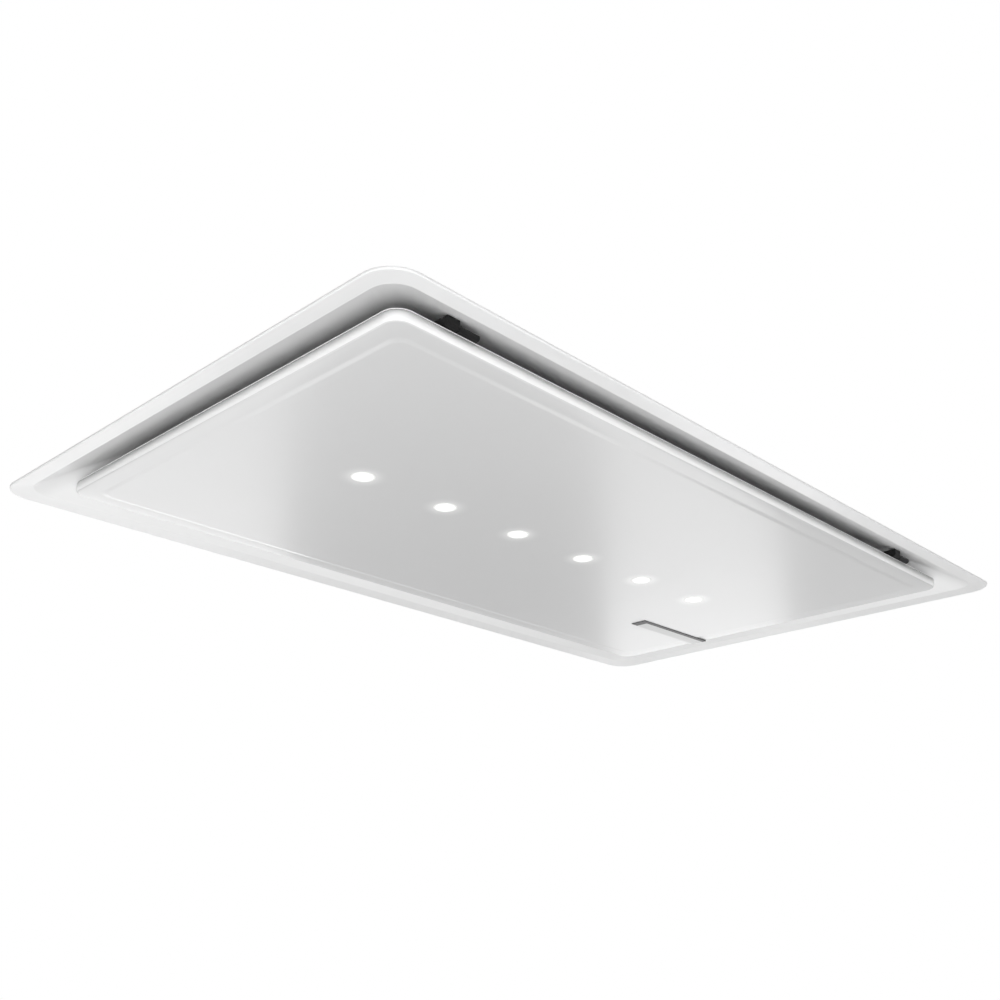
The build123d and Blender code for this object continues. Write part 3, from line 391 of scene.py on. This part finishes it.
# ---- cover panel ---------------------------------------------------------------------------------
PANEL_RADIUS = 0.019
PANEL_ROUND = 0.004           # rounding of the lower edge
PANEL_SHEET = 0.0008
ROUND_STEPS = 8
FIELD_START = 0.022           # from the edge to the step up to the raised field
FIELD_END = 0.030
FIELD_RISE = 0.0008
FIELD_STEPS = 12
FIELD_HOLD = 0.001            # flat strip that holds the shading on each side of the step
CORNER_STEPS = 12
HOLE_RADIUS = 0.0148
HOLE_STEPS = 48


def panel_outline(half, inset, z):
    """The panel's rounded outline moved inwards, at a height."""
    radius = PANEL_RADIUS - min(inset, PANEL_ROUND)
    points = []
    for quarter, (sx, sy) in enumerate(((1, 1), (-1, 1), (-1, -1), (1, -1))):
        centre = Vector((sx * (half.x - inset - radius), sy * (half.y - inset - radius), z))
        for i in range(CORNER_STEPS + 1):
            angle = math.radians(90) * (quarter + i / CORNER_STEPS)
            points.append(centre + Vector((math.cos(angle), math.sin(angle), 0)) * radius)
    return points


def make_panel_face(materials):
    """Rolled lower edge, flat border, soft step and raised field with a hole for each lens."""
    low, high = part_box("panel_face")
    border = low.z + FIELD_RISE
    levels = [(0.0, high.z)]
    for i in range(ROUND_STEPS + 1):
        angle = math.radians(90) * i / ROUND_STEPS
        levels.append((PANEL_ROUND * (1 - math.cos(angle)),
                       border + PANEL_ROUND * (1 - math.sin(angle))))
    levels.append((FIELD_START - FIELD_HOLD, border))
    for i in range(FIELD_STEPS + 1):
        share = i / FIELD_STEPS
        levels.append((FIELD_START + share * (FIELD_END - FIELD_START),
                       border - FIELD_RISE * (1 - math.cos(math.pi * share)) / 2))
    levels.append((FIELD_END + FIELD_HOLD, low.z))
    mesh = bmesh.new()
    rings = [add_ring(mesh, panel_outline(high, *level)) for level in levels]
    join_rings(mesh, rings)
    edges = [mesh.edges.get((a, b)) for a, b in zip(rings[-1], rings[-1][1:] + rings[-1][:1])]
    for place in range(LIGHT_COUNT):
        x = (place - (LIGHT_COUNT - 1) / 2) * LIGHT_PITCH
        circle = []
        for i in range(HOLE_STEPS):
            angle = 2 * math.pi * i / HOLE_STEPS
            circle.append((x + HOLE_RADIUS * math.cos(angle), HOLE_RADIUS * math.sin(angle),
                           low.z))
        circle = add_ring(mesh, circle)
        edges += [mesh.edges.new((a, b)) for a, b in zip(circle, circle[1:] + circle[:1])]
    bmesh.ops.triangle_fill(mesh, use_beauty=True, edges=edges, normal=(0, 0, -1))
    bmesh.ops.recalc_face_normals(mesh, faces=mesh.faces)
    mesh.normal_update()
    if max(mesh.faces, key=lambda face: face.calc_area()).normal.z > 0:
        bmesh.ops.reverse_faces(mesh, faces=mesh.faces)
    piece = add_piece("panel_skin", mesh, materials["panel_paint"], "panel",
                      ["panel_face"])
    # The rim's whiter paint on the rolled edge and wall is a painted highlight for the light they
    # catch.
    piece.data.materials.append(materials["white_paint"])
    for face in piece.data.polygons:
        face.use_smooth = len(face.vertices) == 4      # the field's triangles stay flat
        if piece.data.vertices[face.vertices[0]].co.z > border + PANEL_ROUND / 5:
            face.material_index = 1                    # painted highlight: the rolled edge takes the rim's whiter paint
    sheet = piece.modifiers.new("sheet", "SOLIDIFY")
    sheet.thickness = PANEL_SHEET
    sheet.offset = -1


# ---- filters -------------------------------------------------------------------------------------
CORE_SHARE = 0.6              # of the pack's thickness that the inner layers fill
CELL_LENGTH = 0.0118          # one diamond of the expanded mesh, along X and Y
CELL_WIDTH = 0.0064
STRAND = 0.0011
STRAND_RISE = 0.0008


def make_filter_mesh(materials):
    """A sheet of expanded metal on each face of the pack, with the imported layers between."""
    core, strands = bmesh.new(), bmesh.new()
    for solid in solids_of("filter_meshes"):
        low, high = box_of(solid)
        size = high - low
        layers = Matrix.Diagonal((size.x, size.y, size.z * CORE_SHARE, 1))
        bmesh.ops.create_cube(core, size=1, matrix=Matrix.Translation((low + high) / 2) @ layers)
        add_strands(strands, low, high, low.z + STRAND_RISE, 1)
        add_strands(strands, low, high, high.z - STRAND_RISE, -1)
    add_piece("mesh_core", core, materials["mesh_layers"], "hood",
              ["filter_meshes"], smooth=False)
    add_piece("mesh_sheets", strands, materials["filter_mesh"], "hood",
              ["filter_meshes"], smooth=False)


def add_strands(mesh, low, high, z, side):
    """Zigzag strands along X, each touching its neighbours at the knots, as a four-sided bar."""
    rows = int((high.y - low.y) / CELL_WIDTH)
    columns = int((high.x - low.x) / CELL_LENGTH)
    pitch_y, pitch_x = (high.y - low.y) / rows, (high.x - low.x) / columns
    for row in range(rows):
        y = low.y + (row + 0.5) * pitch_y
        rings = []
        for i in range(2 * columns + 1):
            middle = y + (pitch_y / 2 - STRAND / 2) * (1 if (i + row) % 2 else -1)
            x = low.x + i * pitch_x / 2
            level = z + STRAND_RISE * (1 if i % 2 else -1) * side / 2
            rings.append(add_ring(mesh, [
                (x, middle - STRAND / 2, level), (x, middle, level - STRAND / 3),
                (x, middle + STRAND / 2, level), (x, middle, level + STRAND / 3)]))
        join_rings(mesh, rings)
        mesh.faces.new(rings[0])
        mesh.faces.new(reversed(rings[-1]))


def make_springs():
    """Each latch's coil spring, pressed against its pocket's end, as a piece of its own that rides
    on the hood.
    """
    for number in (1, 2, 3):
        node = f"latch_spring_{number}"
        piece = bpy.data.objects.new(f"latch_coil_{number}", nodes[node].data.copy())
        bpy.context.scene.collection.objects.link(piece)
        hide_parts(node)
        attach(piece, "hood")
        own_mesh(piece)


# ---- screws --------------------------------------------------------------------------------------
HEAD_RADIUS = 0.0038
HEAD_HEIGHT = 0.0022
HEAD_ANGLES = (0, 20, 40, 58) # degrees up the head's dome
SHANK_RADIUS = 0.002
RECESS_REACH = 0.0019
RECESS_HALF = 0.00045
RECESS_DEPTH = 0.0013
RECESS_TAPER = 0.7
SCREW_STEPS = 24


def add_screw(mesh, seat, way, length):
    """A pan head with a cross recess; way points from the head to the tip."""
    turn = Vector((0, 0, -1)).rotation_difference(way).to_matrix()

    def place(points):
        return add_ring(mesh, [seat + turn @ Vector(p) for p in points])

    def ring(radius, z):
        angles = [2 * math.pi * i / SCREW_STEPS for i in range(SCREW_STEPS)]
        return place([(radius * math.cos(a), radius * math.sin(a), z) for a in angles])

    rings = [ring(SHANK_RADIUS * 0.5, -length), ring(SHANK_RADIUS, SHANK_RADIUS * 0.6 - length),
             ring(SHANK_RADIUS, 0), ring(HEAD_RADIUS, 0)]
    for angle in map(math.radians, HEAD_ANGLES):
        rings.append(ring(HEAD_RADIUS * math.cos(angle) * 0.999,
                          HEAD_HEIGHT * (0.45 + 0.5 * math.sin(angle))))
    join_rings(mesh, rings)
    mesh.faces.new(reversed(rings[0]))
    arm, half = RECESS_REACH, RECESS_HALF
    cross = [(arm, -half), (arm, half), (half, half), (half, arm), (-half, arm), (-half, half),
             (-arm, half), (-arm, -half), (-half, -half), (-half, -arm), (half, -arm),
             (half, -half)]
    upper = place([(x, y, HEAD_HEIGHT) for x, y in cross])
    lower = place([(x * RECESS_TAPER, y * RECESS_TAPER, HEAD_HEIGHT - RECESS_DEPTH)
                   for x, y in cross])
    edges = [mesh.edges.get((a, b)) for a, b in zip(rings[-1], rings[-1][1:] + rings[-1][:1])]
    edges += [mesh.edges.new((a, b)) for a, b in zip(upper, upper[1:] + upper[:1])]
    bmesh.ops.triangle_fill(mesh, use_beauty=True, edges=edges, normal=turn @ Vector((0, 0, 1)))
    join_rings(mesh, [upper, lower])
    mesh.faces.new(lower)


def make_screws(materials):
    """Every screw of a CAD node, at the place and along the way of its solid."""
    for node, body in (("case_screws", "hood"), ("hanger_bolts", "hood"),
                       ("hinge_screws", "panel")):
        mesh = bmesh.new()
        for solid in solids_of(node):
            low, high = box_of(solid)
            size = high - low
            axis = max(range(3), key=lambda i: abs(size[i] - 2 * HEAD_RADIUS))
            centre = (low + high) / 2
            wide = []                 # where along the axis the head's points are
            for point in solid:
                off = point - centre
                off[axis] = 0
                if off.length > HEAD_RADIUS * 0.9:
                    wide.append(point[axis])
            way = Vector((0, 0, 0))
            way[axis] = -1.0 if sum(wide) / len(wide) > centre[axis] else 1.0
            seat = centre.copy()
            seat[axis] = min(wide) if way[axis] < 0 else max(wide)
            add_screw(mesh, seat, way, size[axis] - HEAD_HEIGHT)
        bmesh.ops.recalc_face_normals(mesh, faces=mesh.faces)
        add_piece(f"{node}_detail", mesh, materials["steel"], body, [node], smooth=False)


# ---- cable gland ---------------------------------------------------------------------------------
GLAND_LENGTH = 0.018          # of what stands outside the housing
GLAND_BORE = 0.0045
GLAND_THREAD = 0.010
GLAND_HEAD = 0.013            # from the axis to the hexagon's corners
GLAND_FLUTES = 12
GLAND_FLUTE_DEPTH = 0.035     # as a share of the nut's radius
GLAND_STEPS = 96
# distance outwards from the housing, radius and whether the ring is fluted
GLAND_NUT = ((0.0055, 0.0108, False), (0.0062, 0.0108, False), (0.0064, 0.0128, True),
             (0.0130, 0.0124, True), (0.0155, 0.0112, True), (0.0172, 0.0095, False))
# distance inwards from the outer end, and radius
GLAND_SEAL = ((0.0002, 0.0082), (0.0002, 0.0070), (0.0012, 0.0066), (0.0012, GLAND_BORE))


def make_gland(materials):
    """A hexagon against the housing, a fluted domed nut and a soft seal round the bore."""
    low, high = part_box("cable_gland")
    y, z = (low.y + high.y) / 2, (low.z + high.z) / 2
    seat = low.x + GLAND_LENGTH
    angles = [2 * math.pi * i / GLAND_STEPS for i in range(GLAND_STEPS)]
    mesh = bmesh.new()

    def ring(x, radii):
        return add_ring(mesh, [(x, y + radius * math.cos(angle), z + radius * math.sin(angle))
                               for angle, radius in zip(angles, radii)])

    def plain(radius):
        return [radius] * GLAND_STEPS

    def fluted(radius):
        return [radius * (1 - GLAND_FLUTE_DEPTH * (0.5 + 0.5 * math.cos(GLAND_FLUTES * angle)))
                for angle in angles]

    flat = math.radians(60)
    hexagon = [GLAND_HEAD * math.cos(flat / 2) / math.cos((angle % flat) - flat / 2)
               for angle in angles]
    rings = [ring(high.x, plain(GLAND_BORE)), ring(high.x, plain(GLAND_THREAD)),
             ring(seat, plain(GLAND_THREAD)), ring(seat, hexagon), ring(seat - 0.005, hexagon)]
    for out, radius, is_fluted in GLAND_NUT:
        rings.append(ring(seat - out, fluted(radius) if is_fluted else plain(radius)))
    rings += [ring(low.x + inwards, plain(radius)) for inwards, radius in GLAND_SEAL]
    join_rings(mesh, rings, closed=True)
    bmesh.ops.recalc_face_normals(mesh, faces=mesh.faces)
    add_piece("gland_detail", mesh, materials["black_plastic"], "hood",
              ["cable_gland"], smooth=False)


# ---- studio --------------------------------------------------------------------------------------
FLOOR_HEIGHT = -2.4
FLOOR_SHARE = 0.12            # of the floor and its shadow that the camera sees over the white
ROOM_SIZE = 14.0
CEILING_LAP = 0.014           # how far the rim laps over the ceiling's opening
CEILING_HEIGHT = -0.0014      # level with the rim's upper face, as where the foam is pressed flat
WORLD_LIGHT = 0.26
# place, size and brightness of the soft lamps, which face the hood and show in no glossy surface
SOFT_LAMPS = {
    "below": ((0.0, 0.0, FLOOR_HEIGHT + 0.05), (8.0, 8.0), 0.085),
    "front": ((-2.2, -2.2, -1.9), (2.2, 1.1), 12.0),
    "above": ((0.0, 0.0, 2.0), (2.0, 2.0), 1.5),
}
# heading from the camera in degrees, width and brightness of the upright lamps
TALL_LAMPS = {"left": (27.0, 0.90, 1.16), "right": (56.0, 0.50, 1.03)}
TALL_DISTANCE = 3.2           # from the camera
TALL_TOP = -0.1
TALL_FOOT = -2.3


def corners(half_x, half_y, z):
    return [(-half_x, -half_y, z), (half_x, -half_y, z), (half_x, half_y, z), (-half_x, half_y, z)]


def stage_piece(name, points, faces, material):
    mesh = bpy.data.meshes.new(name)
    mesh.from_pydata(points, [], faces)
    piece = bpy.data.objects.new(name, mesh)
    bpy.context.scene.collection.objects.link(piece)
    mesh.materials.append(material)


def make_floor():
    """A pale floor far below the hood, nearly as white to the camera as the background."""
    pale = Shader("floor", (0.80, 0.80, 0.80), 0.9)
    tree = pale.tree
    seen = tree.nodes.new("ShaderNodeLightPath").outputs["Is Camera Ray"]
    white = pale.node("ShaderNodeEmission", {"Color": (1, 1, 1, 1), "Strength": 1.0})
    share = pale.math("MULTIPLY", seen, 1 - FLOOR_SHARE)
    blend = tree.nodes.new("ShaderNodeMixShader")
    tree.links.new(share, blend.inputs[0])
    tree.links.new(pale.main.outputs[0], blend.inputs[1])
    tree.links.new(white.outputs[0], blend.inputs[2])
    tree.links.new(blend.outputs[0], tree.nodes["Material Output"].inputs["Surface"])
    half = ROOM_SIZE / 2
    stage_piece("floor", corners(half, half, FLOOR_HEIGHT), [(0, 1, 2, 3)], pale.material)


def seen_rays(tree):
    """1 for rays that look at the background: from the camera, off metal and through glass."""
    ray = tree.nodes.new("ShaderNodeLightPath")
    seen = ray.outputs["Is Camera Ray"]
    for kind in ("Is Glossy Ray", "Is Transmission Ray"):
        either = tree.nodes.new("ShaderNodeMath")
        either.operation = "MAXIMUM"
        tree.links.new(seen, either.inputs[0])
        tree.links.new(ray.outputs[kind], either.inputs[1])
        seen = either.outputs[0]
    return seen


def make_ceiling():
    """A white sheet round the hood that shows from below only, and neither lights nor shades it."""
    material = bpy.data.materials.new("ceiling")
    material.use_nodes = True
    tree = material.node_tree
    tree.nodes.remove(tree.nodes["Principled BSDF"])
    white = tree.nodes.new("ShaderNodeEmission")
    clear = tree.nodes.new("ShaderNodeBsdfTransparent")
    side = tree.nodes.new("ShaderNodeNewGeometry").outputs["Backfacing"]
    front = tree.nodes.new("ShaderNodeMath")
    front.operation = "SUBTRACT"
    tree.links.new(seen_rays(tree), front.inputs[0])
    tree.links.new(side, front.inputs[1])
    blend = tree.nodes.new("ShaderNodeMixShader")
    tree.links.new(front.outputs[0], blend.inputs[0])
    tree.links.new(clear.outputs[0], blend.inputs[1])
    tree.links.new(white.outputs[0], blend.inputs[2])
    tree.links.new(blend.outputs[0], tree.nodes["Material Output"].inputs["Surface"])
    half = ROOM_SIZE / 2
    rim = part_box("ceiling_frame")[1]
    points = corners(half, half, CEILING_HEIGHT)
    points += corners(rim.x - CEILING_LAP, rim.y - CEILING_LAP, CEILING_HEIGHT)
    faces = [(i, i + 4, (i + 1) % 4 + 4, (i + 1) % 4) for i in range(4)]
    stage_piece("ceiling", points, faces, material)


def area_light(name, place, target, size, brightness, mirrored):
    """A rectangular lamp that faces a point; where not mirrored, glossy surfaces don't show it."""
    data = bpy.data.lights.new(name, "AREA")
    data.shape = "RECTANGLE"
    data.size, data.size_y = size
    data.energy = brightness * math.pi * size[0] * size[1]
    lamp = bpy.data.objects.new(name, data)
    lamp.location = place
    way = Vector(target) - Vector(place)
    lamp.rotation_euler = way.to_track_quat("-Z", "Y").to_euler()
    lamp.visible_camera = False
    lamp.visible_glossy = mirrored
    bpy.context.scene.collection.objects.link(lamp)


def tall_light(name, heading, width, brightness):
    """An upright lamp behind the hood, facing the camera's place, that the panel mirrors."""
    turn = math.radians(heading)
    x = CAMERA_PLACE[0] + TALL_DISTANCE * math.sin(turn)
    y = CAMERA_PLACE[1] + TALL_DISTANCE * math.cos(turn)
    middle = (TALL_TOP + TALL_FOOT) / 2
    area_light(name, (x, y, middle), (CAMERA_PLACE[0], CAMERA_PLACE[1], middle),
               (width, TALL_TOP - TALL_FOOT), brightness, mirrored=True)


def make_world():
    """Even white light, and plain white where the camera, metal or glass see the background."""
    world = bpy.data.worlds.new("world")
    bpy.context.scene.world = world
    world.use_nodes = True
    tree = world.node_tree
    lit = tree.nodes["Background"]
    lit.inputs["Color"].default_value = (1, 1, 1, 1)
    lit.inputs["Strength"].default_value = WORLD_LIGHT
    white = tree.nodes.new("ShaderNodeBackground")
    white.inputs["Color"].default_value = (1, 1, 1, 1)
    white.inputs["Strength"].default_value = 1.0
    blend = tree.nodes.new("ShaderNodeMixShader")
    tree.links.new(seen_rays(tree), blend.inputs[0])
    tree.links.new(lit.outputs[0], blend.inputs[1])
    tree.links.new(white.outputs[0], blend.inputs[2])
    tree.links.new(blend.outputs[0], tree.nodes["World Output"].inputs["Surface"])


def make_lights():
    for name, (place, size, brightness) in SOFT_LAMPS.items():
        area_light(name, place, (0, 0, 0), size, brightness, mirrored=False)
    for name, (heading, width, brightness) in TALL_LAMPS.items():
        tall_light(name, heading, width, brightness)


make_camera()
materials = make_materials()
dress(materials)
make_panel_face(materials)
make_filter_mesh(materials)
make_screws(materials)
make_gland(materials)
make_springs()
make_floor()
make_ceiling()
make_world()
make_lights()
bpy.context.scene.view_settings.view_transform = "Standard"
